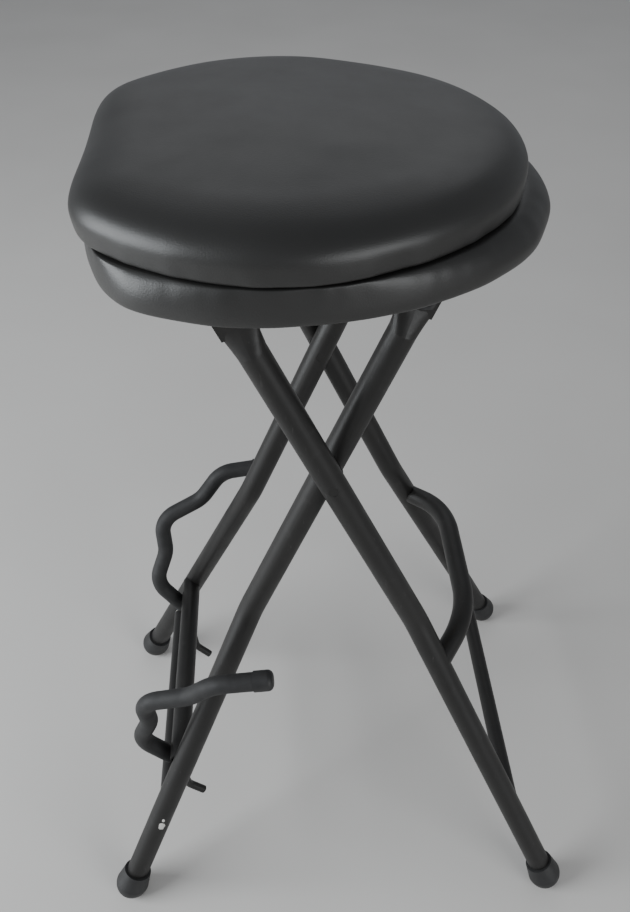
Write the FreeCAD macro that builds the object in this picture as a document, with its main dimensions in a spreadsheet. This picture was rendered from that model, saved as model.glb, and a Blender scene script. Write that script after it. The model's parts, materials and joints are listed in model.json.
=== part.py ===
import FreeCAD, Part
import math
import os
import Sketcher
from FreeCAD import Matrix, Placement, Rotation, Vector

# Folding guitar stool.  Millimetres, +Z up, the floor is z = 0, the origin is
# on the floor midway between the feet.  +X is the footrest side (front), -X is
# the guitar cradle side (back), y = 0 is the plane of symmetry.

doc = FreeCAD.newDocument("GuitarStool")
sheet = doc.addObject("Spreadsheet::Sheet", "Dims")

VALUES = [
    # leg tubes
    ("tube_d", 22.0), ("tube_wall", 1.5),
    ("pivot_z", 505.6),            # height of the scissor pivot
    ("lean_deg", 23.5),            # lean of each leg from the vertical
    ("outer_y", 102.0), ("inner_y", 77.5),
    ("bend_to_pivot", 180.6),      # along the leg, bend vertex to scissor pivot
    ("bend_r", 70.0),
    ("leg_drop", 357.3),           # along the leg, bend vertex to the cut end
    ("foot_out", 78.3),            # outward splay over that drop
    ("flat_w", 28.0), ("flat_thick", 5.0),
    ("inner_round_top", 130.0), ("inner_flat_start", 152.0), ("inner_hinge", 164.0),
    ("outer_round_top", 134.0), ("outer_flat_start", 156.0), ("outer_hinge", 172.0),
    ("pin_r", 4.0), ("run_gap", 0.05),
    # crossbars and footrest
    ("front_bar_r", 8.0), ("bar_wall", 1.5), ("front_bar_z", 107.0),
    ("stop_bar_r", 9.5), ("stop_bar_x", -151.0), ("stop_bar_z", 167.5),
    ("rest_r", 9.5), ("rest_half", 70.0), ("rest_end_half", 116.0),
    ("rest_reach", 37.5), ("rest_bend_r", 90.0), ("rest_x", 126.5), ("rest_z", 307.0),
    # cradle
    ("cradle_x", -168.0), ("cradle_z", 116.0), ("cradle_tube_r", 8.0),
    ("cradle_bore_r", 6.0), ("cradle_half", 113.0), ("axle_r", 4.0),
    ("bush_flange_r", 7.6), ("bush_flange", 1.2), ("bush_len", 14.0),
    ("rod_r", 4.0), ("sleeve_r", 8.25), ("sleeve_bore_r", 4.05),
    ("cap_r", 9.2), ("cap_len", 17.0),
    # seat
    ("band_flat", 159.5), ("band_half", 163.0), ("band_corner_r", 90.0),
    ("band_side_x", 30.0), ("band_side_r", 220.0), ("band_tip_r", 146.8),
    ("band_z", 678.0), ("band_thick", 31.0), ("band_round", 8.0),
    ("board_inset", 14.0), ("board_z", 687.0), ("board_thick", 12.0), ("board_gap", 0.4),
    ("cushion_flat", 161.0), ("cushion_half", 164.5), ("cushion_corner_r", 115.0),
    ("cushion_side_x", 25.0), ("cushion_side_r", 172.0), ("cushion_tip_r", 163.0),
    ("cushion_z", 709.5), ("cushion_thick", 40.5), ("cushion_round", 15.0),
    # seat brackets
    ("bracket_y", 84.0), ("bracket_thick", 2.5), ("bracket_web", 19.2),
    ("bracket_back", 90.0), ("bracket_tooth_z", 655.0), ("bracket_flange", 24.0),
    ("eye_r", 11.0), ("saddle_r", 4.4), ("screw_r", 2.0), ("screw_head_r", 4.0),
    # feet
    ("foot_r", 16.5), ("foot_top_r", 13.6), ("foot_len", 34.0), ("foot_ball", 14.0),
]
V = {}
for row, (alias, value) in enumerate(VALUES, 1):
    sheet.set("A%d" % row, alias)
    sheet.set("B%d" % row, repr(value))
    sheet.setAlias("B%d" % row, alias)
    V[alias] = value
doc.recompute()

LEAN = math.radians(V["lean_deg"])
SL, CL = math.sin(LEAN), math.cos(LEAN)
PIVOT = Vector(0, 0, V["pivot_z"])
TUBE_R = V["tube_d"] / 2
PARTS = []


# ---------------------------------------------------------------- helpers
def keep(obj, label):
    obj.Label = label
    PARTS.append(obj)
    return obj


def new_body(name):
    return doc.addObject("PartDesign::Body", name)


def plane(body, role):
    for feat in body.Origin.OriginFeatures:
        if feat.Role == role:
            return feat


def new_sketch(body, name, role, offset_expr=None):
    sk = body.newObject("Sketcher::SketchObject", name)
    sk.AttachmentSupport = [(plane(body, role), "")]
    sk.MapMode = "FlatFace"
    if offset_expr:
        sk.setExpression("AttachmentOffset.Base.z", offset_expr)
    return sk


def bind(sk, index, name, expr):
    sk.renameConstraint(index, name)
    sk.setExpression("Constraints." + name, expr)


def circle(sk, radius, name, expr, y=0.0, y_expr=None):
    g = sk.addGeometry(Part.Circle(Vector(0, y, 0), Vector(0, 0, 1), radius), False)
    if y_expr is None:
        sk.addConstraint(Sketcher.Constraint("Coincident", g, 3, -1, 1))
    else:
        sk.addConstraint(Sketcher.Constraint("PointOnObject", g, 3, -2))
        c = sk.addConstraint(Sketcher.Constraint("DistanceY", -1, 1, g, 3, y))
        bind(sk, c, name + "_y", y_expr)
    c = sk.addConstraint(Sketcher.Constraint("Radius", g, radius))
    bind(sk, c, name, expr)
    return g


def frame(x_axis, z_axis, origin):
    x = Vector(x_axis); x.normalize()
    z = Vector(z_axis); z.normalize()
    y = z.cross(x); y.normalize()
    x = y.cross(z)
    return Placement(Matrix(x.x, y.x, z.x, origin.x,
                            x.y, y.y, z.y, origin.y,
                            x.z, y.z, z.z, origin.z, 0, 0, 0, 1))


def cylinder(name, r_expr, h_expr, pl):
    c = doc.addObject("Part::Cylinder", name)
    c.setExpression("Radius", r_expr)
    c.setExpression("Height", h_expr)
    c.Placement = pl
    return c


def cut(name, base, tool):
    c = doc.addObject("Part::Cut", name)
    c.Base, c.Tool = base, tool
    return c


def group(name, shapes):
    m = doc.addObject("Part::MultiFuse", name)
    m.Shapes = shapes
    return m


def y_axis_at(x, y, z, sense=1):
    return frame(Vector(1, 0, 0), Vector(0, sense, 0), Vector(x, y, z))


# lean: +1 for the frame whose feet are at +X (outer), -1 for the inner frame
def leg_frame(lean, side):
    up = Vector(-lean * SL, 0, CL)
    bend = PIVOT - up * V["bend_to_pivot"]
    y = V["outer_y"] if lean > 0 else V["inner_y"]
    bend.y = side * y
    return frame(Vector(0, side, 0), up, bend)


def leg_point(lean, along):
    up = Vector(-lean * SL, 0, CL)
    return PIVOT + up * along


# axis of the splayed lower run of a leg: bend vertex and downward direction
def low_axis(lean, side):
    pl = leg_frame(lean, side)
    down = pl.Rotation.multVec(Vector(V["foot_out"], 0, -V["leg_drop"]))
    down.normalize()
    return pl.Base, down


def low_tool(name, lean, side):
    base, down = low_axis(lean, side)
    return cylinder(name, "Dims.tube_d / 2", "Dims.leg_drop * 1.02",
                    frame(Vector(1, 0, 0), down, base + down * 2.0))


# ---------------------------------------------------------------- legs
def make_leg(label, lean, side):
    key = "outer" if lean > 0 else "inner"
    b = new_body(label)
    top = V["bend_to_pivot"] + V[key + "_round_top"]
    flat = V["bend_to_pivot"] + V[key + "_flat_start"]
    hinge = V["bend_to_pivot"] + V[key + "_hinge"]
    top_e = "Dims.bend_to_pivot + Dims.%s_round_top" % key
    flat_e = "Dims.bend_to_pivot + Dims.%s_flat_start" % key
    hinge_e = "Dims.bend_to_pivot + Dims.%s_hinge" % key

    beta = math.atan2(V["foot_out"], V["leg_drop"])
    r = V["bend_r"]
    t = r * math.tan(beta / 2)
    path = new_sketch(b, label + "_path", "XZ_Plane")
    g0 = path.addGeometry(Part.LineSegment(Vector(0, top, 0), Vector(0, t, 0)), False)
    g1 = path.addGeometry(Part.ArcOfCircle(Part.Circle(Vector(r, t, 0), Vector(0, 0, 1), r),
                                           math.pi, math.pi + beta), False)
    g2 = path.addGeometry(Part.LineSegment(Vector(t * math.sin(beta), -t * math.cos(beta), 0),
                                           Vector(V["foot_out"], -V["leg_drop"], 0)), False)
    path.addConstraint(Sketcher.Constraint("Tangent", g0, 2, g1, 1))
    path.addConstraint(Sketcher.Constraint("Tangent", g1, 2, g2, 1))
    path.addConstraint(Sketcher.Constraint("PointOnObject", g0, 1, -2))
    path.addConstraint(Sketcher.Constraint("Vertical", g0))
    path.addConstraint(Sketcher.Constraint("PointOnObject", -1, 1, g2))
    c = path.addConstraint(Sketcher.Constraint("Radius", g1, r))
    bind(path, c, "bend", "Dims.bend_r")
    c = path.addConstraint(Sketcher.Constraint("DistanceX", -1, 1, g2, 2, V["foot_out"]))
    bind(path, c, "splay", "Dims.foot_out")
    c = path.addConstraint(Sketcher.Constraint("DistanceY", g2, 2, -1, 1, V["leg_drop"]))
    bind(path, c, "drop", "Dims.leg_drop")
    c = path.addConstraint(Sketcher.Constraint("DistanceY", -1, 1, g0, 1, top))
    bind(path, c, "top", top_e)

    prof = new_sketch(b, label + "_section", "XY_Plane", top_e)
    circle(prof, TUBE_R, "outside", "Dims.tube_d / 2")
    circle(prof, TUBE_R - V["tube_wall"], "inside", "Dims.tube_d / 2 - Dims.tube_wall")
    doc.recompute()
    pipe = b.newObject("PartDesign::AdditivePipe", label + "_tube")
    pipe.Profile = prof
    pipe.Spine = (path, ["Edge1", "Edge2", "Edge3"])
    doc.recompute()

    # pressed end: round section to a flat one across the hinge axis
    s0 = new_sketch(b, label + "_round", "XY_Plane", top_e)
    circle(s0, TUBE_R, "round", "Dims.tube_d / 2")
    s1 = new_sketch(b, label + "_pressed", "XY_Plane", flat_e)
    e = s1.addGeometry(Part.Ellipse(Vector(0, V["flat_w"] / 2, 0),
                                    Vector(V["flat_thick"] / 2, 0, 0), Vector(0, 0, 0)), False)
    s1.exposeInternalGeometry(e)
    s1.addConstraint(Sketcher.Constraint("Coincident", e, 3, -1, 1))
    doc.recompute()
    loft = b.newObject("PartDesign::AdditiveLoft", label + "_press")
    loft.Profile = s0
    loft.Sections = [s1]
    doc.recompute()

    ear = new_sketch(b, label + "_ear", "YZ_Plane")
    w = V["flat_w"] / 2
    z0 = flat - 6.0
    a = ear.addGeometry(Part.LineSegment(Vector(-w, z0, 0), Vector(w, z0, 0)), False)
    bb = ear.addGeometry(Part.LineSegment(Vector(w, z0, 0), Vector(w, hinge, 0)), False)
    cc = ear.addGeometry(Part.ArcOfCircle(Part.Circle(Vector(0, hinge, 0), Vector(0, 0, 1), w),
                                          0, math.pi), False)
    dd = ear.addGeometry(Part.LineSegment(Vector(-w, hinge, 0), Vector(-w, z0, 0)), False)
    ear.addConstraint(Sketcher.Constraint("Coincident", a, 2, bb, 1))
    ear.addConstraint(Sketcher.Constraint("Tangent", bb, 2, cc, 1))
    ear.addConstraint(Sketcher.Constraint("Tangent", cc, 2, dd, 1))
    ear.addConstraint(Sketcher.Constraint("Coincident", dd, 2, a, 1))
    ear.addConstraint(Sketcher.Constraint("Horizontal", a))
    ear.addConstraint(Sketcher.Constraint("Vertical", bb))
    ear.addConstraint(Sketcher.Constraint("PointOnObject", cc, 3, -2))
    c = ear.addConstraint(Sketcher.Constraint("Radius", cc, w))
    bind(ear, c, "ear_r", "Dims.flat_w / 2")
    c = ear.addConstraint(Sketcher.Constraint("DistanceY", -1, 1, cc, 3, hinge))
    bind(ear, c, "ear_z", hinge_e)
    c = ear.addConstraint(Sketcher.Constraint("DistanceY", -1, 1, a, 1, z0))
    bind(ear, c, "ear_root", flat_e + " - 6")
    hole = "Dims.pin_r"
    circle(ear, V["pin_r"], "hole", hole, hinge, hinge_e)
    doc.recompute()
    pad = b.newObject("PartDesign::Pad", label + "_end")
    pad.Profile = ear
    pad.Midplane = True
    pad.setExpression("Length", "Dims.flat_thick")
    doc.recompute()

    # hole for the scissor pivot, free on the outer legs and tight on the inner
    free = " + Dims.run_gap" if lean > 0 else ""
    hs = new_sketch(b, label + "_pivot", "YZ_Plane")
    circle(hs, V["pin_r"] + (V["run_gap"] if lean > 0 else 0), "pivot", "Dims.pin_r" + free,
           V["bend_to_pivot"], "Dims.bend_to_pivot")
    doc.recompute()
    before = b.Shape.Volume
    pk = b.newObject("PartDesign::Pocket", label + "_bore")
    pk.Profile = hs
    pk.Type = 1
    pk.Midplane = True
    doc.recompute()
    assert b.Shape.Volume < before - 50, label
    b.Placement = leg_frame(lean, side)
    return keep(b, label)


for lean, key in ((-1, "inner"), (1, "outer")):
    for side, word in ((-1, "right"), (1, "left")):
        make_leg("%s_leg_%s" % (key, word), lean, side)


# ---------------------------------------------------------------- rubber feet
def make_foot(label, lean, side):
    base, down = low_axis(lean, side)
    # height at which the ball end of the foot is centred on the leg axis
    k = (base.z - V["foot_ball"]) / -down.z
    centre = base + down * k
    r, rt, ln = V["foot_r"], V["foot_top_r"], V["foot_len"]
    b = new_body(label + "_body")
    sk = new_sketch(b, label + "_profile", "XZ_Plane")
    # profile on the +X side of the leg axis, ball centre at the origin
    tr = TUBE_R
    seat = -2.0
    p = [Vector(0, seat, 0), Vector(tr, seat, 0), Vector(tr, ln - 16.0, 0), Vector(rt, ln - 16.0, 0),
         Vector(rt + 0.6, ln - 19.5, 0), Vector(r, 0, 0), Vector(0, -r, 0)]
    n = 0
    for i in range(5):
        sk.addGeometry(Part.LineSegment(p[i], p[i + 1]), False)
    sk.addGeometry(Part.ArcOfCircle(Part.Circle(Vector(0, 0, 0), Vector(0, 0, 1), r),
                                    -math.pi / 2, 0), False)
    sk.addGeometry(Part.LineSegment(p[6], p[0]), False)
    for i in range(4):
        sk.addConstraint(Sketcher.Constraint("Coincident", i, 2, i + 1, 1))
    sk.addConstraint(Sketcher.Constraint("Coincident", 4, 2, 5, 2))
    sk.addConstraint(Sketcher.Constraint("Coincident", 5, 1, 6, 1))
    sk.addConstraint(Sketcher.Constraint("Coincident", 6, 2, 0, 1))
    sk.addConstraint(Sketcher.Constraint("Coincident", 5, 3, -1, 1))
    sk.addConstraint(Sketcher.Constraint("Vertical", 6))
    sk.addConstraint(Sketcher.Constraint("PointOnObject", 0, 1, -2))
    sk.addConstraint(Sketcher.Constraint("Horizontal", 0))
    sk.addConstraint(Sketcher.Constraint("Vertical", 1))
    sk.addConstraint(Sketcher.Constraint("Horizontal", 2))
    sk.addConstraint(Sketcher.Constraint("PointOnObject", 4, 2, -1))
    c = sk.addConstraint(Sketcher.Constraint("Radius", 5, r))
    bind(sk, c, "ball", "Dims.foot_r")
    c = sk.addConstraint(Sketcher.Constraint("DistanceX", -1, 1, 1, 1, tr))
    bind(sk, c, "socket", "Dims.tube_d / 2")
    c = sk.addConstraint(Sketcher.Constraint("DistanceX", -1, 1, 2, 2, rt))
    bind(sk, c, "rim", "Dims.foot_top_r")
    c = sk.addConstraint(Sketcher.Constraint("DistanceY", -1, 1, 2, 2, ln - 16.0))
    bind(sk, c, "height", "Dims.foot_len - 16")
    c = sk.addConstraint(Sketcher.Constraint("DistanceX", -1, 1, 3, 2, rt + 0.6))
    bind(sk, c, "shoulder", "Dims.foot_top_r + 0.6")
    c = sk.addConstraint(Sketcher.Constraint("DistanceY", -1, 1, 3, 2, ln - 19.5))
    bind(sk, c, "shoulder_h", "Dims.foot_len - 19.5")
    sk.addConstraint(Sketcher.Constraint("DistanceY", 0, 1, -1, 1, -seat))
    doc.recompute()
    rev = b.newObject("PartDesign::Revolution", label + "_turn")
    rev.Profile = sk
    rev.ReferenceAxis = (sk, ["V_Axis"])
    rev.Angle = 360
    doc.recompute()
    b.Placement = frame(Vector(1, 0, 0), down * -1, centre)
    floor = doc.addObject("Part::Box", label + "_floor")
    floor.Length = floor.Width = 90
    floor.Height = 40
    floor.Placement = Placement(Vector(centre.x - 45, centre.y - 45, -40), Rotation())
    return keep(cut(label + "_cut", b, floor), label)


for lean, key in ((-1, "inner"), (1, "outer")):
    for side, word in ((-1, "right"), (1, "left")):
        make_foot("%s_foot_%s" % (key, word), lean, side)


# ---------------------------------------------------------------- crossbars
def make_bar(label, x, z, r_key, lean, wall=True):
    name = label
    z_low = z
    base, down = low_axis(lean, 1)
    k = (base.z - z) / -down.z
    half = (base + down * k).y - 3.0
    bar = cylinder(name + "_out", "Dims." + r_key, "%.3f" % (2 * half), y_axis_at(x, -half, z))
    bore = cylinder(name + "_bore", "Dims.%s - Dims.bar_wall" % r_key, "%.3f" % (2 * half + 4),
                    y_axis_at(x, -half - 2, z))
    tube = cut(name + "_tube", bar, bore)
    a = cut(name + "_cope_right", tube, low_tool(name + "_tool_right", lean, -1))
    return keep(cut(name + "_cope_left", a, low_tool(name + "_tool_left", lean, 1)), label)


front_x = (V["pivot_z"] - V["front_bar_z"]) * math.tan(LEAN)
make_bar("front_crossbar", front_x, V["front_bar_z"], "front_bar_r", 1)
make_bar("cradle_stop_crossbar", V["stop_bar_x"], V["stop_bar_z"], "stop_bar_r", -1)


# footrest: one bent tube, its ends coped onto the front of the outer legs
def make_footrest(label):
    b = new_body(label + "_body")
    half, end, reach, r = V["rest_half"], V["rest_end_half"], V["rest_reach"], V["rest_bend_r"]
    turn = math.atan2(reach, end - half)
    t = r * math.tan(turn / 2)
    path = new_sketch(b, label + "_path", "XY_Plane")
    g0 = path.addGeometry(Part.LineSegment(Vector(0, 0, 0), Vector(half - t, 0, 0)), False)
    g1 = path.addGeometry(Part.ArcOfCircle(Part.Circle(Vector(half - t, -r, 0), Vector(0, 0, 1), r),
                                           math.pi / 2 - turn, math.pi / 2), False)
    g2 = path.addGeometry(Part.LineSegment(
        Vector(half + t * math.cos(turn), -t * math.sin(turn), 0), Vector(end, -reach, 0)), False)
    path.addConstraint(Sketcher.Constraint("Coincident", g0, 1, -1, 1))
    path.addConstraint(Sketcher.Constraint("Horizontal", g0))
    path.addConstraint(Sketcher.Constraint("Tangent", g0, 2, g1, 2))
    path.addConstraint(Sketcher.Constraint("Tangent", g1, 1, g2, 1))
    c = path.addConstraint(Sketcher.Constraint("Radius", g1, r))
    bind(path, c, "bend", "Dims.rest_bend_r")
    c = path.addConstraint(Sketcher.Constraint("DistanceX", -1, 1, g2, 2, end))
    bind(path, c, "end_half", "Dims.rest_end_half")
    c = path.addConstraint(Sketcher.Constraint("DistanceY", g2, 2, -1, 1, reach))
    bind(path, c, "reach", "Dims.rest_reach")
    c = path.addConstraint(Sketcher.Constraint("DistanceX", -1, 1, g0, 2, half - t))
    prof = new_sketch(b, label + "_section", "YZ_Plane")
    circle(prof, V["rest_r"], "outside", "Dims.rest_r")
    circle(prof, V["rest_r"] - V["bar_wall"], "inside", "Dims.rest_r - Dims.bar_wall")
    doc.recompute()
    pipe = b.newObject("PartDesign::AdditivePipe", label + "_half")
    pipe.Profile = prof
    pipe.Spine = (path, ["Edge1", "Edge2", "Edge3"])
    doc.recompute()
    mir = b.newObject("PartDesign::Mirrored", label + "_whole")
    mir.Originals = [pipe]
    mir.MirrorPlane = (plane(b, "YZ_Plane"), [""])
    b.Tip = mir
    doc.recompute()
    # local x runs along +Y, local y points from the legs towards the toes
    toe = Vector(0.917, 0, 0.399)
    b.Placement = frame(Vector(0, 1, 0), Vector(0, 1, 0).cross(toe),
                        Vector(V["rest_x"], 0, V["rest_z"]))
    a = cut(label + "_cope_right", b, low_tool(label + "_tool_right", 1, -1))
    return keep(cut(label + "_cope_left", a, low_tool(label + "_tool_left", 1, 1)), label)


make_footrest("footrest_bar")


# ---------------------------------------------------------------- scissor pivots
pins, washers = [], []
for side, word in ((-1, "right"), (1, "left")):
    y0 = V["inner_y"] - TUBE_R + 0.3
    y1 = V["outer_y"] + TUBE_R - 0.3
    pins.append(cylinder("pivot_pin_" + word, "Dims.pin_r", "%.3f" % (y1 - y0),
                         y_axis_at(0, side * y0, V["pivot_z"], side)))
    g = V["outer_y"] - V["inner_y"] - V["tube_d"]
    yw = V["inner_y"] + TUBE_R + 0.2
    w = cylinder("pivot_washer_disc_" + word, "9", "%.3f" % (g - 0.5),
                 y_axis_at(0, side * yw, V["pivot_z"], side))
    h = cylinder("pivot_washer_hole_" + word, "Dims.pin_r + Dims.run_gap", "%.3f" % (g + 2),
                 y_axis_at(0, side * (yw - 1), V["pivot_z"], side))
    washers.append(cut("pivot_washer_" + word, w, h))
keep(group("pivot_pins", pins), "scissor_pivot_pins")
keep(group("pivot_washers", washers), "scissor_pivot_washers")


# ---------------------------------------------------------------- seat hinge and catch
HINGE = leg_point(-1, V["inner_hinge"])
CATCH = leg_point(1, V["outer_hinge"])
ft = V["flat_thick"] / 2


def hexnut(name, x, y, z, side, across, height, bore_expr):
    p = doc.addObject("Part::Prism", name + "_hex")
    p.Polygon = 6
    p.Circumradius = across / 2 / math.cos(math.pi / 6)
    p.Height = height
    p.Placement = y_axis_at(x, y, z, side)
    h = cylinder(name + "_thread", bore_expr, "%.3f" % (height + 2), y_axis_at(x, y - side, z, side))
    return cut(name, p, h)


bolts, nuts, spacers, cpins, cnuts = [], [], [], [], []
for side, word in ((-1, "right"), (1, "left")):
    x, z = HINGE.x, HINGE.z
    yi = V["inner_y"]
    br = V["bracket_y"]
    shank = cylinder("hinge_shank_" + word, "Dims.pin_r", "%.3f" % (br + V["bracket_thick"] + 5.8 - yi + ft + 1),
                     y_axis_at(x, side * (yi - ft - 1), z, side))
    head = cylinder("hinge_head_" + word, "6.8", "4.2", y_axis_at(x, side * (yi - ft - 4.2), z, side))
    bolts.append(group("hinge_bolt_" + word, [shank, head]))
    sp = cylinder("hinge_spacer_out_" + word, "7", "%.3f" % (br - 0.3 - yi - ft),
                  y_axis_at(x, side * (yi + ft), z, side))
    sh = cylinder("hinge_spacer_bore_" + word, "Dims.pin_r", "12", y_axis_at(x, side * (yi + ft - 2), z, side))
    spacers.append(cut("hinge_spacer_" + word, sp, sh))
    nuts.append(hexnut("hinge_nut_" + word, x, side * (br + V["bracket_thick"] + 0.3), z, side, 13.0, 5.0,
                       "Dims.pin_r"))
    x, z = CATCH.x, CATCH.z
    yo = V["outer_y"]
    shank = cylinder("catch_shank_" + word, "Dims.pin_r", "%.3f" % (yo + ft + 1 - (br - 1.2)),
                     y_axis_at(x, side * (br - 1.2), z, side))
    head = cylinder("catch_head_" + word, "6.8", "4.2", y_axis_at(x, side * (yo + ft), z, side))
    cpins.append(group("catch_pin_" + word, [shank, head]))
    cnuts.append(hexnut("catch_nut_" + word, x, side * (yo - ft - 5.0), z, side, 13.0, 5.0, "Dims.pin_r"))
keep(group("hinge_bolts_g", bolts), "seat_hinge_bolts")
keep(group("hinge_spacers_g", spacers), "seat_hinge_spacers")
keep(group("hinge_nuts_g", nuts), "seat_hinge_nuts")
keep(group("catch_pins_g", cpins), "seat_catch_pins")
keep(group("catch_nuts_g", cnuts), "seat_catch_nuts")


# pressed steel angle under each side of the seat: eye at the front for the
# hinge bolt, open saddle with a tooth at the back for the catch pin
def make_bracket(label, side):
    b = new_body(label)
    zb = V["board_z"]
    hx, hz, px, pz = HINGE.x, HINGE.z, CATCH.x, CATCH.z
    er, sr = V["eye_r"], V["saddle_r"]
    web = zb - V["bracket_web"]
    xb, zt = -V["bracket_back"], V["bracket_tooth_z"]
    sk = new_sketch(b, label + "_web", "XZ_Plane")
    A = Vector
    lines = [
        (A(xb, zb, 0), A(hx + er, zb, 0)),          # 0 along the board
        (A(hx + er, zb, 0), A(hx + er, hz, 0)),     # 1 front edge
    ]
    for p, q in lines:
        sk.addGeometry(Part.LineSegment(p, q), False)
    sk.addGeometry(Part.ArcOfCircle(Part.Circle(A(hx, hz, 0), A(0, 0, 1), er), math.pi, 2 * math.pi), False)  # 2
    sk.addGeometry(Part.LineSegment(A(hx - er, hz, 0), A(hx - er, web, 0)), False)          # 3
    sk.addGeometry(Part.LineSegment(A(hx - er, web, 0), A(px, web, 0)), False)              # 4
    sk.addGeometry(Part.ArcOfCircle(Part.Circle(A(px, web - sr, 0), A(0, 0, 1), sr),
                                    math.pi / 2, math.pi), False)                           # 5
    sk.addGeometry(Part.LineSegment(A(px - sr, web - sr, 0), A(px - sr, zt, 0)), False)     # 6
    sk.addGeometry(Part.LineSegment(A(px - sr, zt, 0), A(xb, zt, 0)), False)                # 7
    sk.addGeometry(Part.LineSegment(A(xb, zt, 0), A(xb, zb, 0)), False)                     # 8
    con = sk.addConstraint
    C = Sketcher.Constraint
    con(C("Coincident", 0, 2, 1, 1)); con(C("Tangent", 1, 2, 2, 2)); con(C("Tangent", 2, 1, 3, 1))
    con(C("Coincident", 3, 2, 4, 1)); con(C("Tangent", 4, 2, 5, 1)); con(C("Tangent", 5, 2, 6, 1))
    con(C("Coincident", 6, 2, 7, 1)); con(C("Coincident", 7, 2, 8, 1)); con(C("Coincident", 8, 2, 0, 1))
    for i in (0, 4, 7):
        con(C("Horizontal", i))
    for i in (1, 6, 8):
        con(C("Vertical", i))
    bind(sk, con(C("Radius", 2, er)), "eye", "Dims.eye_r")
    bind(sk, con(C("Radius", 5, sr)), "saddle", "Dims.saddle_r")
    bind(sk, con(C("DistanceY", -1, 1, 0, 1, zb)), "board", "Dims.board_z")
    bind(sk, con(C("DistanceY", 4, 1, 0, 1, zb - web)), "web", "Dims.bracket_web")
    bind(sk, con(C("DistanceX", 0, 1, -1, 1, -xb)), "back", "Dims.bracket_back")
    bind(sk, con(C("DistanceY", -1, 1, 7, 1, zt)), "tooth", "Dims.bracket_tooth_z")
    bind(sk, con(C("DistanceX", -1, 1, 2, 3, hx)), "eye_x", "Dims.inner_hinge * sin(Dims.lean_deg * 1 deg)")
    bind(sk, con(C("DistanceY", -1, 1, 2, 3, hz)), "eye_z",
         "Dims.pivot_z + Dims.inner_hinge * cos(Dims.lean_deg * 1 deg)")
    bind(sk, con(C("DistanceX", 5, 3, -1, 1, -px)), "saddle_x", "Dims.outer_hinge * sin(Dims.lean_deg * 1 deg)")
    g = sk.addGeometry(Part.Circle(A(hx, hz, 0), A(0, 0, 1), V["pin_r"] + V["run_gap"]), False)
    con(C("Coincident", g, 3, 2, 3))
    bind(sk, con(C("Radius", g, V["pin_r"] + V["run_gap"])), "eye_hole", "Dims.pin_r + Dims.run_gap")
    doc.recompute()
    pad = b.newObject("PartDesign::Pad", label + "_plate")
    pad.Profile = sk
    pad.Reversed = side > 0
    pad.setExpression("Length", "Dims.bracket_thick")
    doc.recompute()
    # foot of the angle, screwed to the board
    fs = new_sketch(b, label + "_foot", "XY_Plane", "Dims.board_z")
    y0, y1 = 0.0, -side * V["bracket_flange"]
    x0, x1 = xb, hx + er
    P = [A(x0, y0, 0), A(x1, y0, 0), A(x1, y1, 0), A(x0, y1, 0)]
    for i in range(4):
        fs.addGeometry(Part.LineSegment(P[i], P[(i + 1) % 4]), False)
    for i in range(4):
        fs.addConstraint(C("Coincident", i, 2, (i + 1) % 4, 1))
    fs.addConstraint(C("Horizontal", 0)); fs.addConstraint(C("Horizontal", 2))
    fs.addConstraint(C("Vertical", 1)); fs.addConstraint(C("Vertical", 3))
    fs.addConstraint(C("PointOnObject", 0, 1, -1))
    bind(fs, fs.addConstraint(C("DistanceX", 0, 1, -1, 1, -x0)), "back", "Dims.bracket_back")
    bind(fs, fs.addConstraint(C("DistanceX", -1, 1, 0, 2, x1)), "front",
         "Dims.inner_hinge * sin(Dims.lean_deg * 1 deg) + Dims.eye_r")
    c = fs.addConstraint(C("DistanceY", 2, 1, -1, 1, V["bracket_flange"]) if side > 0 else
                         C("DistanceY", -1, 1, 2, 1, V["bracket_flange"]))
    bind(fs, c, "flange", "Dims.bracket_flange")
    for i, sx in enumerate((-72.0, -4.0, 58.0)):
        g = fs.addGeometry(Part.Circle(A(sx, y1 * 0.55, 0), A(0, 0, 1), V["screw_r"] + 0.3), False)
        bind(fs, fs.addConstraint(C("Radius", g, V["screw_r"] + 0.3)), "screw%d" % i, "Dims.screw_r + 0.3")
        fs.addConstraint(C("DistanceX", g, 3, -1, 1, -sx) if sx < 0 else C("DistanceX", -1, 1, g, 3, sx))
        fs.addConstraint(C("DistanceY", g, 3, -1, 1, abs(y1) * 0.55) if side > 0 else
                         C("DistanceY", -1, 1, g, 3, abs(y1) * 0.55))
    doc.recompute()
    p2 = b.newObject("PartDesign::Pad", label + "_angle")
    p2.Profile = fs
    p2.Reversed = True
    p2.setExpression("Length", "Dims.bracket_thick")
    doc.recompute()
    b.Placement = Placement(Vector(0, side * V["bracket_y"], 0), Rotation())
    return keep(b, label)


make_bracket("seat_bracket_right", -1)
make_bracket("seat_bracket_left", 1)
screws = []
for side, word in ((-1, "right"), (1, "left")):
    for i, sx in enumerate((-72.0, -4.0, 58.0)):
        y = side * (V["bracket_y"] - V["bracket_flange"] * 0.55)
        z = V["board_z"] - V["bracket_thick"]
        sh = cylinder("screw_shank_%s%d" % (word, i), "Dims.screw_r", "12.5",
                      Placement(Vector(sx, y, z - 1), Rotation()))
        hd = doc.addObject("Part::Cone", "screw_head_%s%d" % (word, i))
        hd.Radius1 = 2.4
        hd.setExpression("Radius2", "Dims.screw_head_r")
        hd.Height = 2.6
        hd.Placement = Placement(Vector(sx, y, z - 2.6), Rotation())
        screws.append(group("screw_%s%d" % (word, i), [sh, hd]))
keep(group("bracket_screws_g", screws), "bracket_screws")


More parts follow.
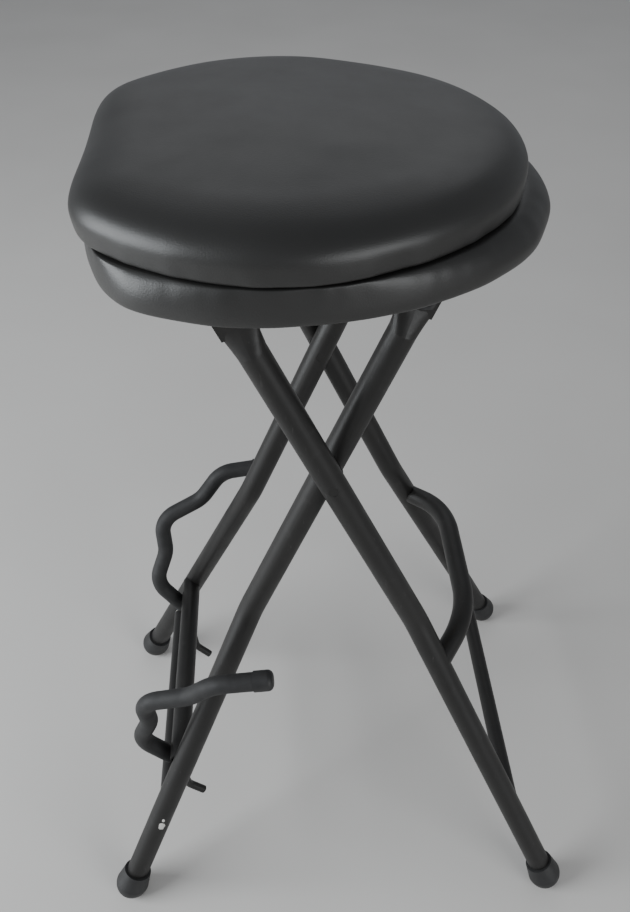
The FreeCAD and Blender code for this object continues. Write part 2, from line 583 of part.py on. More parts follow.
# ---------------------------------------------------------------- seat
# rounded D outline, half of it: flat back, round corner, straight, long side, round front
def half_outline(sk, key, inset):
    fl = V[key + "_flat"] - inset
    hd = V[key + "_half"] - inset
    rc = V[key + "_corner_r"] - inset
    rs = V[key + "_side_r"] - inset
    rt = V[key + "_tip_r"] - inset
    xs = -V[key + "_side_x"]
    A = Vector
    cc = A(-fl + rc, hd - rc, 0)
    cs = A(xs, hd - rs, 0)
    dx = math.sqrt((rs - rt) ** 2 - cs.y ** 2)
    ct = A(cs.x + dx, 0, 0)
    u = (ct - cs); u.normalize()
    ang = math.atan2(u.y, u.x)
    nz = A(0, 0, 1)
    sk.addGeometry(Part.LineSegment(A(-fl, 0, 0), A(-fl, cc.y, 0)), False)                          # 0
    sk.addGeometry(Part.ArcOfCircle(Part.Circle(cc, nz, rc), math.pi / 2, math.pi), False)          # 1
    sk.addGeometry(Part.LineSegment(A(cc.x, hd, 0), A(xs, hd, 0)), False)                           # 2
    sk.addGeometry(Part.ArcOfCircle(Part.Circle(cs, nz, rs), ang, math.pi / 2), False)              # 3
    sk.addGeometry(Part.ArcOfCircle(Part.Circle(ct, nz, rt), 0, ang), False)                        # 4
    sk.addGeometry(Part.LineSegment(A(ct.x + rt, 0, 0), A(-fl, 0, 0)), False)                       # 5
    con, C = sk.addConstraint, Sketcher.Constraint
    con(C("Vertical", 0)); con(C("PointOnObject", 0, 1, -1)); con(C("Horizontal", 2))
    con(C("Tangent", 0, 2, 1, 2)); con(C("Tangent", 1, 1, 2, 1)); con(C("Tangent", 2, 2, 3, 2))
    con(C("Tangent", 3, 1, 4, 2))
    con(C("Coincident", 4, 1, 5, 1)); con(C("Coincident", 5, 2, 0, 1))
    con(C("PointOnObject", 4, 3, -1)); con(C("PointOnObject", 4, 1, -1))
    d = " - %r" % inset if inset else ""
    bind(sk, con(C("DistanceX", 0, 1, -1, 1, fl)), "flat", "Dims.%s_flat%s" % (key, d))
    bind(sk, con(C("DistanceY", -1, 1, 2, 1, hd)), "half", "Dims.%s_half%s" % (key, d))
    bind(sk, con(C("DistanceX", 2, 2, -1, 1, -xs)), "side_x", "Dims.%s_side_x" % key)
    bind(sk, con(C("Radius", 1, rc)), "corner", "Dims.%s_corner_r%s" % (key, d))
    bind(sk, con(C("Radius", 3, rs)), "side", "Dims.%s_side_r%s" % (key, d))
    bind(sk, con(C("Radius", 4, rt)), "tip", "Dims.%s_tip_r%s" % (key, d))


def rim_edges(shape, z):
    names = []
    for i, e in enumerate(shape.Edges, 1):
        bb = e.BoundBox
        if abs(bb.ZMin - z) < 1e-3 and abs(bb.ZMax - z) < 1e-3:
            names.append("Edge%d" % i)
    return names


def make_slab(label, key, inset, z_expr, thick_expr):
    b = new_body(label)
    sk = new_sketch(b, label + "_outline", "XY_Plane", z_expr)
    half_outline(sk, key, inset)
    doc.recompute()
    pad = b.newObject("PartDesign::Pad", label + "_pad")
    pad.Profile = sk
    pad.setExpression("Length", thick_expr)
    doc.recompute()
    mir = b.newObject("PartDesign::Mirrored", label + "_both")
    mir.Originals = [pad]
    mir.MirrorPlane = (plane(b, "XZ_Plane"), [""])
    mir.Refine = True
    b.Tip = mir
    doc.recompute()
    return b, mir


board, _ = make_slab("seat_board", "band", V["board_inset"], "Dims.board_z", "Dims.board_thick")
keep(board, "seat_board")

pad_body, last = make_slab("base_pad_blank", "band", 0.0, "Dims.band_z", "Dims.band_thick")
fil = pad_body.newObject("PartDesign::Fillet", "seat_base_pad_round")
fil.Base = (last, rim_edges(last.Shape, V["band_z"]) + rim_edges(last.Shape, V["band_z"] + V["band_thick"]))
fil.setExpression("Radius", "Dims.band_round")
doc.recompute()
# the board lies in a recess of the pad, open below
rec, _ = make_slab("seat_recess", "band", V["board_inset"] - V["board_gap"], "Dims.band_z - 5",
                   "Dims.board_z + Dims.board_thick + Dims.board_gap - Dims.band_z + 5")
keep(cut("seat_base_pad_cut", pad_body, rec), "seat_base_pad")

cush, last = make_slab("seat_cushion", "cushion", 0.0, "Dims.cushion_z", "Dims.cushion_thick")
fil = cush.newObject("PartDesign::Fillet", "seat_cushion_round")
fil.Base = (last, rim_edges(last.Shape, V["cushion_z"] + V["cushion_thick"]))
fil.setExpression("Radius", "Dims.cushion_round")
doc.recompute()
keep(cush, "seat_cushion")

# ---------------------------------------------------------------- guitar cradle
# centre line of the left arm, from the tip to the bare tail
CX, CZ = V["cradle_x"], V["cradle_z"]
ARM = [Vector(-60, 140, 318), Vector(-106, 138, 313.5), Vector(-129, 128, 286), Vector(-174, 117.5, 267),
       Vector(-172.5, 109.5, 227), Vector(-188, 101, 187), Vector(-160, 97, 147), Vector(-152.6, 90, 84),
       Vector(-138.6, 89, 68.5)]
ARM_R = [0, 30, 34, 26, 40, 32, 14, 14, 0]


def bent_wire(points, radii):
    edges, here = [], points[0]
    for i in range(1, len(points) - 1):
        p, a, c = points[i], points[i - 1], points[i + 1]
        u = (a - p); u.normalize()
        w = (c - p); w.normalize()
        half = u.getAngle(w) / 2
        t = radii[i] / math.tan(half)
        s, e = p + u * t, p + w * t
        bis = u + w; bis.normalize()
        mid = p + bis * (radii[i] / math.sin(half) - radii[i])
        edges.append(Part.LineSegment(here, s).toShape())
        edges.append(Part.Arc(s, mid, e).toShape())
        here = e
    edges.append(Part.LineSegment(here, points[-1]).toShape())
    return Part.Wire(edges)


def swept(name, points, radii, r_expr):
    spine = doc.addObject("Part::Feature", name + "_line")
    spine.Shape = bent_wire(points, radii)
    c = doc.addObject("Part::Circle", name + "_section")
    c.setExpression("Radius", r_expr)
    d = points[1] - points[0]
    c.Placement = frame(Vector(0, 1, 0), d, points[0])
    sw = doc.addObject("Part::Sweep", name)
    sw.Sections = [c]
    sw.Spine = (spine, ["Edge%d" % (i + 1) for i in range(len(spine.Shape.Edges))])
    sw.Solid = True
    sw.Frenet = False
    return sw


rods = []
for side, word in ((-1, "right"), (1, "left")):
    pts = [Vector(p.x, side * p.y, p.z) for p in ARM]
    d0 = pts[0] - pts[1]; d0.normalize()
    tip = pts[0]
    # the rod stops inside the end cap
    rod_pts = [tip - d0 * 3.0] + pts[1:]
    rod = swept("guitar_arm_rod_" + word, rod_pts, ARM_R, "Dims.rod_r")
    rods.append(keep(rod, "guitar_arm_rod_" + word))
    # foam sleeve from the cap down to just above the pivot tube
    end = pts[6] + (pts[5] - pts[6]) * 0.08
    sl_pts = [tip - d0 * 2.0] + pts[1:6] + [end]
    sl_r = ARM_R[:6] + [0]
    out = swept("arm_sleeve_out_" + word, sl_pts, sl_r, "Dims.sleeve_r")
    bore_pts = [tip + d0 * 4.0] + pts[1:6] + [end + (pts[6] - pts[5]) * 0.1]
    bore = swept("arm_sleeve_bore_" + word, bore_pts, sl_r, "Dims.sleeve_bore_r")
    keep(cut("arm_sleeve_cut_" + word, out, bore), "arm_sleeve_" + word)
    # moulded end cap pushed over the end of the sleeve
    b = new_body("arm_end_cap_" + word)
    sk = new_sketch(b, "cap_profile_" + word, "XZ_Plane")
    r, ri, ln = V["cap_r"], V["sleeve_r"] + 0.05, V["cap_len"]
    dome = 5.0
    A = Vector
    q = [A(0, 0, 0), A(ri, 0, 0), A(ri, -(ln - 8.0), 0), A(r, -(ln - 8.0), 0), A(r, 3.0, 0),
         A(r - dome, 3.0 + dome, 0), A(0, 3.0 + dome, 0)]
    for i in range(4):
        sk.addGeometry(Part.LineSegment(q[i], q[i + 1]), False)
    sk.addGeometry(Part.ArcOfCircle(Part.Circle(A(r - dome, 3.0, 0), A(0, 0, 1), dome), 0, math.pi / 2), False)
    sk.addGeometry(Part.LineSegment(q[5], q[6]), False)
    sk.addGeometry(Part.LineSegment(q[6], q[0]), False)
    con, C = sk.addConstraint, Sketcher.Constraint
    for i in range(3):
        con(C("Coincident", i, 2, i + 1, 1))
    con(C("Tangent", 3, 2, 4, 1)); con(C("Tangent", 4, 2, 5, 1))
    con(C("Coincident", 5, 2, 6, 1)); con(C("Coincident", 6, 2, 0, 1))
    con(C("Coincident", 0, 1, -1, 1)); con(C("Horizontal", 0)); con(C("Vertical", 1)); con(C("Horizontal", 2))
    con(C("Vertical", 3)); con(C("Vertical", 6)); con(C("Horizontal", 5))
    bind(sk, con(C("DistanceX", -1, 1, 0, 2, ri)), "socket", "Dims.sleeve_r + 0.05")
    bind(sk, con(C("DistanceX", -1, 1, 3, 1, r)), "outside", "Dims.cap_r")
    bind(sk, con(C("DistanceY", 2, 1, -1, 1, ln - 8.0)), "skirt", "Dims.cap_len - 8")
    con(C("DistanceY", -1, 1, 3, 2, 3.0)); con(C("Radius", 4, dome))
    doc.recompute()
    rev = b.newObject("PartDesign::Revolution", "cap_turn_" + word)
    rev.Profile = sk
    rev.ReferenceAxis = (sk, ["V_Axis"])
    rev.Angle = 360
    doc.recompute()
    b.Placement = frame(Vector(0, 1, 0), d0, tip - d0 * 2.0)
    keep(b, "arm_end_cap_" + word)

ch = V["cradle_half"]
tube_out = cylinder("cradle_tube_out", "Dims.cradle_tube_r", "2 * Dims.cradle_half", y_axis_at(CX, -ch, CZ))
tube_in = cylinder("cradle_tube_bore", "Dims.cradle_bore_r", "2 * Dims.cradle_half + 4", y_axis_at(CX, -ch - 2, CZ))
tube = cut("cradle_tube_raw", tube_out, tube_in)
notch = cut("cradle_tube_notch_right", tube, rods[0])
keep(cut("cradle_tube_notch_left", notch, rods[1]), "cradle_pivot_tube")

bushes = []
for side, word in ((-1, "right"), (1, "left")):
    body = cylinder("bush_body_" + word, "Dims.cradle_bore_r", "Dims.bush_len",
                    y_axis_at(CX, side * (ch - V["bush_len"]), CZ, side))
    fl = cylinder("bush_flange_" + word, "Dims.bush_flange_r", "Dims.bush_flange", y_axis_at(CX, side * ch, CZ, side))
    h = cylinder("bush_hole_" + word, "Dims.axle_r + Dims.run_gap", "40", y_axis_at(CX, side * (ch - 25), CZ, side))
    bushes.append(cut("bush_" + word, group("bush_solid_" + word, [body, fl]), h))
keep(group("cradle_bushes_g", bushes), "cradle_bushes")

base, down = low_axis(-1, 1)
half = (base + down * ((base.z - CZ) / -down.z)).y - 3.0
axle = cylinder("cradle_axle_bar", "Dims.axle_r", "%.3f" % (2 * half), y_axis_at(CX, -half, CZ))
a = cut("cradle_axle_cope_right", axle, low_tool("cradle_axle_tool_right", -1, -1))
keep(cut("cradle_axle_cope_left", a, low_tool("cradle_axle_tool_left", -1, 1)), "cradle_axle")

# ---------------------------------------------------------------- checks and export
doc.recompute()
bad = [o.Name for o in doc.Objects if any(s in ("Invalid", "Error") for s in o.State)]
if bad:
    raise RuntimeError("failed objects: " + ", ".join(bad))
for o in PARTS:
    if o.Shape.isNull() or not o.Shape.isValid() or o.Shape.Volume <= 0:
        raise RuntimeError("bad shape: " + o.Label)
os.makedirs("parts", exist_ok=True)
for o in PARTS:
    o.Shape.exportStep("parts/%s.step" % o.Label)
    bb = o.Shape.BoundBox
    print("%-26s solids %d  vol %10.1f  x %8.2f %8.2f  y %8.2f %8.2f  z %8.2f %8.2f" % (
        o.Label, len(o.Shape.Solids), o.Shape.Volume, bb.XMin, bb.XMax, bb.YMin, bb.YMax, bb.ZMin, bb.ZMax))
print("hinge", HINGE, "catch", CATCH)
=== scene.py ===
import json
import math

import bmesh
import bpy
import numpy as np
from mathutils import Matrix, Vector, noise

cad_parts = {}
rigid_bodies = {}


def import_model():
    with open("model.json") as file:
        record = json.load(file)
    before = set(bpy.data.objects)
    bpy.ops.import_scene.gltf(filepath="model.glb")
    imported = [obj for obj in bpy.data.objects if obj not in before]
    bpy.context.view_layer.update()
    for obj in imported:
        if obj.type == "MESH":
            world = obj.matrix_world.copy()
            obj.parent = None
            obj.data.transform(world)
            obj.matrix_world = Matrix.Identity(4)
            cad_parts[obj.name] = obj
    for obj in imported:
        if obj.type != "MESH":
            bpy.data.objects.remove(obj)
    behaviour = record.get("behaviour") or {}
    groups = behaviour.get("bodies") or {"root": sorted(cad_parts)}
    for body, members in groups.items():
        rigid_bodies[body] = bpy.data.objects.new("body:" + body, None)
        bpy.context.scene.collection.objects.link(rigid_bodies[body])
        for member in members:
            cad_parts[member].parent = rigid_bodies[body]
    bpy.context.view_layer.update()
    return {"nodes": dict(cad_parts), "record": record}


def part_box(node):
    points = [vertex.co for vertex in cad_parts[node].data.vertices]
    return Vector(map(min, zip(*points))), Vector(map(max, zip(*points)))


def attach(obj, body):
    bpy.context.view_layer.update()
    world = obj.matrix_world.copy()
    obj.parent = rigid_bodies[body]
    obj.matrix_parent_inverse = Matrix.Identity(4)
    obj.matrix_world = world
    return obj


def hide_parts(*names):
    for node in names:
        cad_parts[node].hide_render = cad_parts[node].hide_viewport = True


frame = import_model()
nodes = frame["nodes"]
scene = bpy.context.scene


# ------------------------------------------------------------------ camera
# viewing angle of the photograph, solved from the legs
cam_data = bpy.data.cameras.new("camera")
cam = bpy.data.objects.new("camera", cam_data)
scene.collection.objects.link(cam)
scene.camera = cam
cam_data.sensor_width = 36.0
cam_data.lens = 943.75 * 36.0 / 912.0
cam_data.shift_x = -(362.28 - 315.0) / 912.0
cam_data.clip_start, cam_data.clip_end = 0.02, 40.0
right = Vector((0.99606, -0.087636, 0.013571))
down = Vector((-0.046384, -0.645278, -0.762539))
fwd = Vector((0.075583, 0.758905, -0.646800))
rot = Matrix((right, -down, -fwd)).transposed()
cam.matrix_world = Matrix.Translation((-0.030719, -0.633975, 0.985071)) @ rot.to_4x4()


# ------------------------------------------------------------------ materials
class Mat:
    """A node material under construction: keeps the tree, its shader and small helpers."""

    def __init__(self, name):
        self.m = bpy.data.materials.new(name)
        self.m.use_nodes = True
        self.t = self.m.node_tree
        self.t.nodes.clear()
        self.out = self.t.nodes.new("ShaderNodeOutputMaterial")
        self.p = self.t.nodes.new("ShaderNodeBsdfPrincipled")
        self.t.links.new(self.p.outputs["BSDF"], self.out.inputs["Surface"])
        self.co = self.t.nodes.new("ShaderNodeTexCoord").outputs["Object"]

    def link(self, a, b):
        self.t.links.new(a, b)

    def noise(self, scale, detail=3.0, rough=0.5, stretch=None, dist=0.0):
        n = self.t.nodes.new("ShaderNodeTexNoise")
        n.inputs["Scale"].default_value = scale
        n.inputs["Detail"].default_value = detail
        n.inputs["Roughness"].default_value = rough
        n.inputs["Distortion"].default_value = dist
        co = self.co
        if stretch:
            mp = self.t.nodes.new("ShaderNodeMapping")
            mp.inputs["Scale"].default_value = stretch
            self.link(co, mp.inputs["Vector"])
            co = mp.outputs["Vector"]
        self.link(co, n.inputs["Vector"])
        return n.outputs["Fac"]

    def voronoi(self, scale, feature="F1", stretch=None):
        n = self.t.nodes.new("ShaderNodeTexVoronoi")
        n.feature = feature
        n.inputs["Scale"].default_value = scale
        co = self.co
        if stretch:
            mp = self.t.nodes.new("ShaderNodeMapping")
            mp.inputs["Scale"].default_value = stretch
            self.link(co, mp.inputs["Vector"])
            co = mp.outputs["Vector"]
        self.link(co, n.inputs["Vector"])
        return n.outputs["Distance"]

    def ramp(self, fac, stops):
        r = self.t.nodes.new("ShaderNodeValToRGB")
        el = r.color_ramp.elements
        while len(el) < len(stops):
            el.new(0.5)
        for e, (pos, col) in zip(el, stops):
            e.position = pos
            e.color = (*col, 1.0) if len(col) == 3 else col
        self.link(fac, r.inputs["Fac"])
        return r.outputs["Color"]

    def maprange(self, fac, a, b, c, d):
        n = self.t.nodes.new("ShaderNodeMapRange")
        for k, v in zip(("From Min", "From Max", "To Min", "To Max"), (a, b, c, d)):
            n.inputs[k].default_value = v
        self.link(fac, n.inputs["Value"])
        return n.outputs["Result"]

    def mix(self, fac, a, b, mode="MIX"):
        n = self.t.nodes.new("ShaderNodeMix")
        n.data_type = "RGBA"
        n.blend_type = mode
        ins = [s for s in n.inputs if s.type == "RGBA"]
        for s, v in zip(ins, (a, b)):
            if isinstance(v, tuple):
                s.default_value = (*v, 1.0)
            else:
                self.link(v, s)
        f = n.inputs["Factor"]
        if isinstance(fac, float):
            f.default_value = fac
        else:
            self.link(fac, f)
        return [o for o in n.outputs if o.type == "RGBA"][0]

    def math(self, op, a, b):
        n = self.t.nodes.new("ShaderNodeMath")
        n.operation = op
        for s, v in zip(n.inputs, (a, b)):
            if isinstance(v, (int, float)):
                s.default_value = v
            else:
                self.link(v, s)
        return n.outputs["Value"]

    def spot(self, centre, radii, wobble=0.4, scale=220.0):
        """1 inside a ragged patch at a point of the row frame, 0 outside."""
        mp = self.t.nodes.new("ShaderNodeMapping")
        mp.vector_type = "TEXTURE"
        mp.inputs["Location"].default_value = centre
        mp.inputs["Scale"].default_value = radii
        self.link(self.co, mp.inputs["Vector"])
        ln = self.t.nodes.new("ShaderNodeVectorMath")
        ln.operation = "LENGTH"
        self.link(mp.outputs["Vector"], ln.inputs[0])
        n = self.noise(scale, 3.0, 0.6)
        d = self.math("ADD", ln.outputs["Value"], self.maprange(n, 0.2, 0.8, -wobble, wobble))
        return self.maprange(d, 0.9, 1.05, 1.0, 0.0)

    def bump(self, height, strength, distance, normal=None):
        b = self.t.nodes.new("ShaderNodeBump")
        b.inputs["Strength"].default_value = strength
        b.inputs["Distance"].default_value = distance
        self.link(height, b.inputs["Height"])
        if normal is not None:
            self.link(normal, b.inputs["Normal"])
        return b.outputs["Normal"]

    def set(self, **kw):
        for k, v in kw.items():
            s = self.p.inputs[k.replace("_", " ")]
            if hasattr(v, "links") or isinstance(v, bpy.types.NodeSocket):
                self.link(v, s)
            elif isinstance(v, tuple) and len(v) == 3 and s.type == "RGBA":
                s.default_value = (*v, 1.0)
            else:
                s.default_value = v


def vinyl(name):
    m = Mat(name)
    big = m.noise(9.0, 4.0, 0.55)
    base = m.ramp(big, [(0.30, (0.0185, 0.0182, 0.0176)), (0.55, (0.0205, 0.0202, 0.0195)), (0.78, (0.0228, 0.0224, 0.0216))])
    scuff = m.maprange(m.noise(70.0, 5.0, 0.65, (1.0, 3.0, 1.0)), 0.62, 0.80, 0.0, 0.18)
    base = m.mix(scuff, base, (0.034, 0.0335, 0.032))
    grain = m.voronoi(900.0)
    fine = m.noise(1600.0, 2.0, 0.5)
    rough = m.maprange(m.noise(26.0, 4.0, 0.6), 0.3, 0.75, 0.37, 0.43)
    n = m.bump(grain, 0.12, 0.0004)
    n = m.bump(fine, 0.08, 0.0003, n)
    n = m.bump(m.noise(14.0, 2.0, 0.5), 0.03, 0.003, n)
    m.set(Base_Color=base, Roughness=rough, Normal=n, Specular_IOR_Level=0.45)
    return m.m


def paint(name, glint_spots=()):
    m = Mat(name)
    big = m.noise(14.0, 4.0, 0.6)
    base = m.ramp(big, [(0.30, (0.0105, 0.0100, 0.0096)), (0.60, (0.0140, 0.0134, 0.0128)), (0.82, (0.0190, 0.0180, 0.0170))])
    dust = m.maprange(m.noise(60.0, 6.0, 0.7), 0.60, 0.85, 0.0, 0.45)
    base = m.mix(dust, base, (0.050, 0.049, 0.047))
    rub = m.maprange(m.noise(420.0, 3.0, 0.6, (1.0, 1.0, 0.12)), 0.66, 0.74, 0.0, 0.35)
    base = m.mix(rub, base, (0.075, 0.074, 0.072))
    rough = m.maprange(m.noise(45.0, 4.0, 0.6), 0.3, 0.75, 0.36, 0.52)
    # painted highlight: pale patches mixed into the paint colour at the given points
    for c, r in glint_spots:
        s = m.spot(c, r)
        base = m.mix(s, base, (0.62, 0.61, 0.58))
    n = m.bump(m.noise(700.0, 2.0, 0.5), 0.12, 0.0004)
    n = m.bump(m.noise(180.0, 2.0, 0.5), 0.06, 0.0010, n)
    m.set(Base_Color=base, Roughness=rough, Normal=n, Specular_IOR_Level=0.34)
    return m.m


def foam(name):
    m = Mat(name)
    cell = m.voronoi(1500.0)
    base = m.ramp(m.noise(90.0, 5.0, 0.6), [(0.3, (0.013, 0.013, 0.0135)), (0.7, (0.022, 0.022, 0.0225))])
    worn = m.maprange(m.noise(38.0, 5.0, 0.65), 0.60, 0.80, 0.0, 0.5)
    base = m.mix(worn, base, (0.034, 0.034, 0.034))
    n = m.bump(cell, 0.30, 0.0006)
    n = m.bump(m.noise(140.0, 4.0, 0.6), 0.18, 0.0012, n)
    m.set(Base_Color=base, Roughness=m.maprange(m.noise(60.0), 0.3, 0.7, 0.55, 0.72), Normal=n, Specular_IOR_Level=0.4)
    return m.m


def rubber(name):
    m = Mat(name)
    base = m.ramp(m.noise(55.0, 5.0, 0.65), [(0.3, (0.012, 0.012, 0.0125)), (0.62, (0.020, 0.020, 0.0205)), (0.85, (0.034, 0.033, 0.032))])
    geo = m.t.nodes.new("ShaderNodeSeparateXYZ")
    m.link(m.co, geo.inputs["Vector"])
    low = m.math("MULTIPLY", m.maprange(geo.outputs["Z"], 0.002, 0.014, 1.0, 0.0),
                 m.maprange(m.noise(120.0, 5.0, 0.7), 0.35, 0.7, 0.1, 0.8))
    base = m.mix(low, base, (0.085, 0.078, 0.068))
    n = m.bump(m.noise(420.0, 3.0, 0.6), 0.15, 0.0005)
    m.set(Base_Color=base, Roughness=m.maprange(m.noise(80.0), 0.3, 0.7, 0.46, 0.62), Normal=n, Specular_IOR_Level=0.45)
    return m.m


def zinc(name):
    m = Mat(name)
    spangle = m.voronoi(260.0)
    base = m.ramp(spangle, [(0.0, (0.040, 0.040, 0.042)), (0.6, (0.058, 0.058, 0.060)), (1.0, (0.080, 0.079, 0.078))])
    dull = m.maprange(m.noise(70.0, 5.0, 0.65), 0.5, 0.8, 0.0, 0.6)
    base = m.mix(dull, base, (0.030, 0.029, 0.028))
    n = m.bump(m.noise(900.0, 2.0, 0.5, (1.0, 6.0, 1.0)), 0.10, 0.0003)
    m.set(Base_Color=base, Metallic=0.85, Roughness=m.maprange(m.noise(120.0, 4.0), 0.3, 0.7, 0.40, 0.56), Normal=n)
    return m.m


def plywood(name):
    m = Mat(name)
    w = m.t.nodes.new("ShaderNodeTexWave")
    w.wave_type = "BANDS"
    w.bands_direction = "Y"
    w.inputs["Scale"].default_value = 14.0
    w.inputs["Distortion"].default_value = 9.0
    w.inputs["Detail"].default_value = 4.0
    w.inputs["Detail Scale"].default_value = 1.4
    mp = m.t.nodes.new("ShaderNodeMapping")
    mp.inputs["Scale"].default_value = (0.22, 1.0, 1.0)
    m.link(m.co, mp.inputs["Vector"])
    m.link(mp.outputs["Vector"], w.inputs["Vector"])
    base = m.ramp(w.outputs["Fac"], [(0.0, (0.23, 0.145, 0.075)), (0.55, (0.34, 0.225, 0.125)), (1.0, (0.42, 0.295, 0.175))])
    base = m.mix(m.maprange(m.noise(380.0, 3.0, 0.6, (0.06, 1.0, 1.0)), 0.5, 0.75, 0.0, 0.55), base, (0.17, 0.10, 0.05))
    n = m.bump(m.noise(500.0, 3.0, 0.6, (0.05, 1.0, 1.0)), 0.25, 0.0006)
    m.set(Base_Color=base, Roughness=m.maprange(m.noise(50.0), 0.3, 0.7, 0.62, 0.80), Normal=n)
    return m.m


def nylon(name):
    m = Mat(name)
    base = m.ramp(m.noise(60.0, 4.0), [(0.3, (0.55, 0.54, 0.49)), (0.7, (0.66, 0.65, 0.60))])
    n = m.bump(m.noise(600.0), 0.08, 0.0003)
    m.set(Base_Color=base, Roughness=m.maprange(m.noise(90.0), 0.3, 0.7, 0.38, 0.5), Normal=n, Subsurface_Weight=0.1)
    return m.m


# painted highlight: two pale patches on the right inner leg stand in for the glint of a screw head
PAINTED_GLINTS = [((-0.1745, -0.1470, 0.1010), (0.0030, 0.012, 0.0046)),
         ((-0.1720, -0.1450, 0.1085), (0.0014, 0.010, 0.0020))]
M_PAINT = paint("satin_black_paint")
M_PAINT_GLINT = paint("satin_black_paint_with_painted_glint", PAINTED_GLINTS)
M_ZINC = zinc("zinc_plate")
M_RUBBER = rubber("moulded_rubber")
M_FOAM = foam("foam_sleeve")
M_VINYL = vinyl("seat_vinyl")
M_PLY = plywood("plywood")
M_NYLON = nylon("nylon")
BY_SLOT = {"frame_paint": M_PAINT, "zinc_hardware": M_ZINC, "rubber": M_RUBBER, "arm_foam": M_FOAM,
           "seat_vinyl": M_VINYL, "plywood": M_PLY, "nylon": M_NYLON}
for sp in frame["record"]["subparts"]:
    o = nodes[sp["node"]]
    o.data.materials.clear()
    o.data.materials.append(M_PAINT_GLINT if sp["node"] == "inner_leg_right" else BY_SLOT[sp["material_slot"]])


# ------------------------------------------------------------------ seat outline
# half outlines in mm, from the front tip round to the middle of the back
HALF = {
    "band": [(163.0, 0), (160.2, 25.6), (153.0, 49.9), (141.3, 74.7), (124.5, 97.9), (101.2, 119), (74.9, 136), (45.2, 149),
             (10.2, 158.6), (-30.2, 162.2), (-65.3, 160.2), (-98.0, 150.2), (-123.6, 137), (-140.6, 117), (-150.6, 94),
             (-156.9, 67.3), (-159.2, 34.8), (-159.4, 0)],
    "cushion": [(142.6, 0), (140.4, 27.1), (133.6, 51.8), (123.4, 74.4), (107.6, 97.9), (87.1, 118.8), (65.3, 134.4), (45.7, 144.8),
                (8.9, 159.2), (-21.5, 164.3), (-51.2, 162.2), (-79.8, 153.8), (-103.2, 142.6), (-128.6, 125.6), (-149.4, 105.8),
                (-159.6, 84.6), (-162.0, 57.8), (-161.4, 28.1), (-161.0, 0)]}


def smooth_loop(key, count):
    """Evenly spaced points on a closed smooth curve through the mirrored half outline, with outward normals."""
    half = np.array(HALF[key], float) * 0.001
    loop = np.vstack([half, half[-2:0:-1] * (1.0, -1.0)])
    n = len(loop)
    fine = []
    for i in range(n):
        p0, p1, p2, p3 = loop[i - 1], loop[i], loop[(i + 1) % n], loop[(i + 2) % n]
        for k in range(24):
            u = k / 24.0
            fine.append(0.5 * (2 * p1 + (p2 - p0) * u + (2 * p0 - 5 * p1 + 4 * p2 - p3) * u ** 2
                               + (3 * p1 - p0 - 3 * p2 + p3) * u ** 3))
    fine = np.array(fine)
    # even out the joins of the spans
    for _ in range(60):
        fine = 0.5 * fine + 0.25 * (np.roll(fine, 1, 0) + np.roll(fine, -1, 0))
    step = np.linalg.norm(np.roll(fine, -1, 0) - fine, axis=1)
    s = np.concatenate([[0.0], np.cumsum(step)])
    t = np.arange(count) / count * s[-1]
    ring = np.vstack([fine, fine[:1]])
    pts = np.column_stack([np.interp(t, s, ring[:, 0]), np.interp(t, s, ring[:, 1])])
    tan = np.roll(pts, -1, 0) - np.roll(pts, 1, 0)
    tan /= np.linalg.norm(tan, axis=1, keepdims=True)
    return pts, np.column_stack([tan[:, 1], -tan[:, 0]])


def outline(key, inset, count):
    pts, nor = smooth_loop(key, count)
    return [Vector((p[0], p[1], 0.0)) for p in pts - nor * inset]


def loft(name, rings, close_first=True, close_last=True):
    """Closed skin through rings of equal count, capped by inner rings that shrink to a small disc."""
    bm = bmesh.new()
    rows = [[bm.verts.new(p) for p in ring] for ring in rings]
    n = len(rows[0])
    for a, b in zip(rows, rows[1:]):
        for i in range(n):
            j = (i + 1) % n
            bm.faces.new((a[i], a[j], b[j], b[i]))
    if close_first:
        bm.faces.new(list(reversed(rows[0])))
    if close_last:
        bm.faces.new(rows[-1])
    bmesh.ops.recalc_face_normals(bm, faces=bm.faces)
    me = bpy.data.meshes.new(name)
    bm.to_mesh(me)
    bm.free()
    for f in me.polygons:
        f.use_smooth = True
    o = bpy.data.objects.new(name, me)
    scene.collection.objects.link(o)
    return o


def shrink(ring, f, centre):
    return [centre + (p - centre) * f for p in ring]


def with_z(ring, z):
    return [Vector((p.x, p.y, z)) for p in ring]


def activate(o):
    for x in scene.objects:
        x.select_set(False)
    o.select_set(True)
    bpy.context.view_layer.objects.active = o


N = 168


